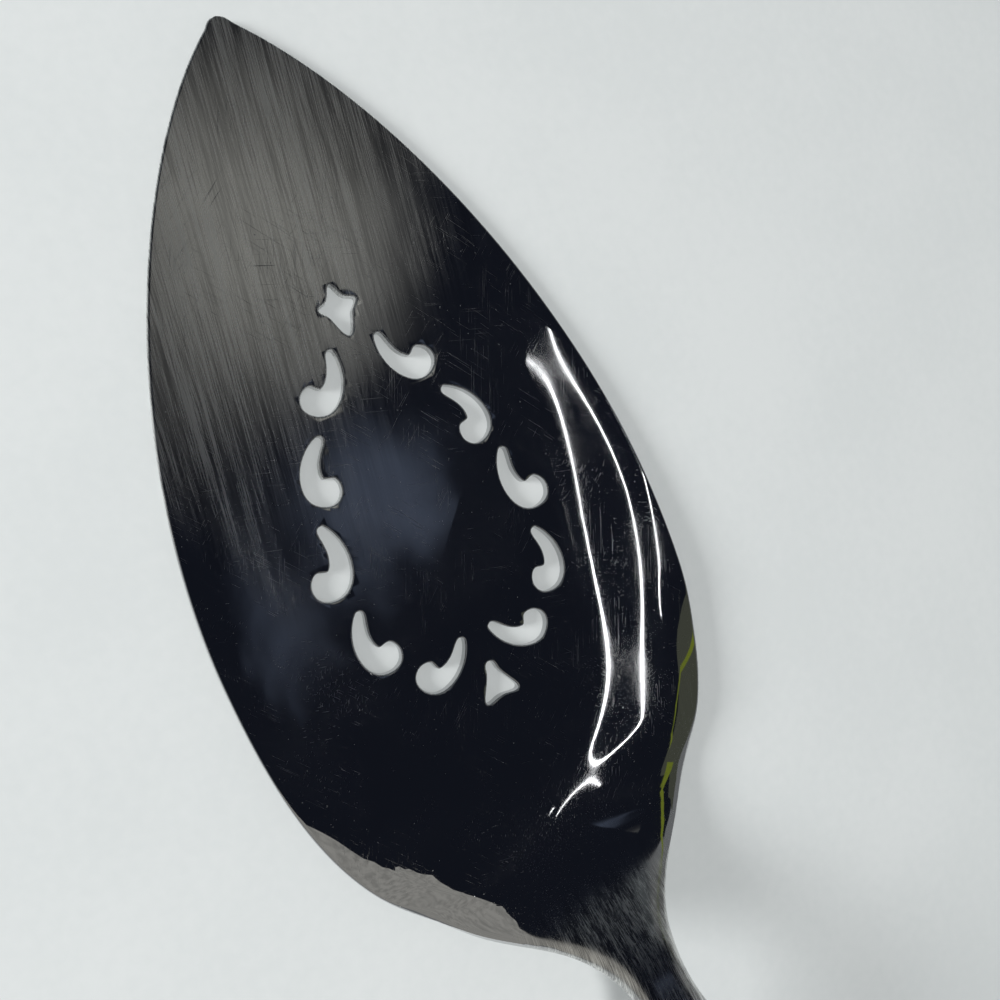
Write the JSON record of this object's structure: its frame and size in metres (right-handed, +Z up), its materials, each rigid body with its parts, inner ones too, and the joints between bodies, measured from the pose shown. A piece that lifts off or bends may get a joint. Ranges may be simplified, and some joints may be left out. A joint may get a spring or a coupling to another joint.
{
  "type": "tomato server",
  "caption": "Flat, pointed, pierced steel serving blade with raised shoulders and a cranked neck, on a hollow oval handle, for lifting sliced food.",
  "frame": {"origin": "on the table, midway between the blade's tip and the handle's butt and midway between the two sides", "axes": "+X from the blade's tip to the handle's butt, +Z up from the table, +Y to one side"},
  "size_m": [0.2504, 0.057, 0.0203],
  "materials": {
    "blade_steel": "polished, with fine brush lines and scratches from use",
    "collar_steel": "polished",
    "handle_steel": "polished, with fine handling scratches",
    "cement": "dull, cast"
  },
  "bodies": {
    "root": {"blade": "blade_steel", "collar": "collar_steel", "handle_upper_shell": "handle_steel", "handle_lower_shell": "handle_steel", "handle_filling": "cement"}
  },
  "joints": []
}
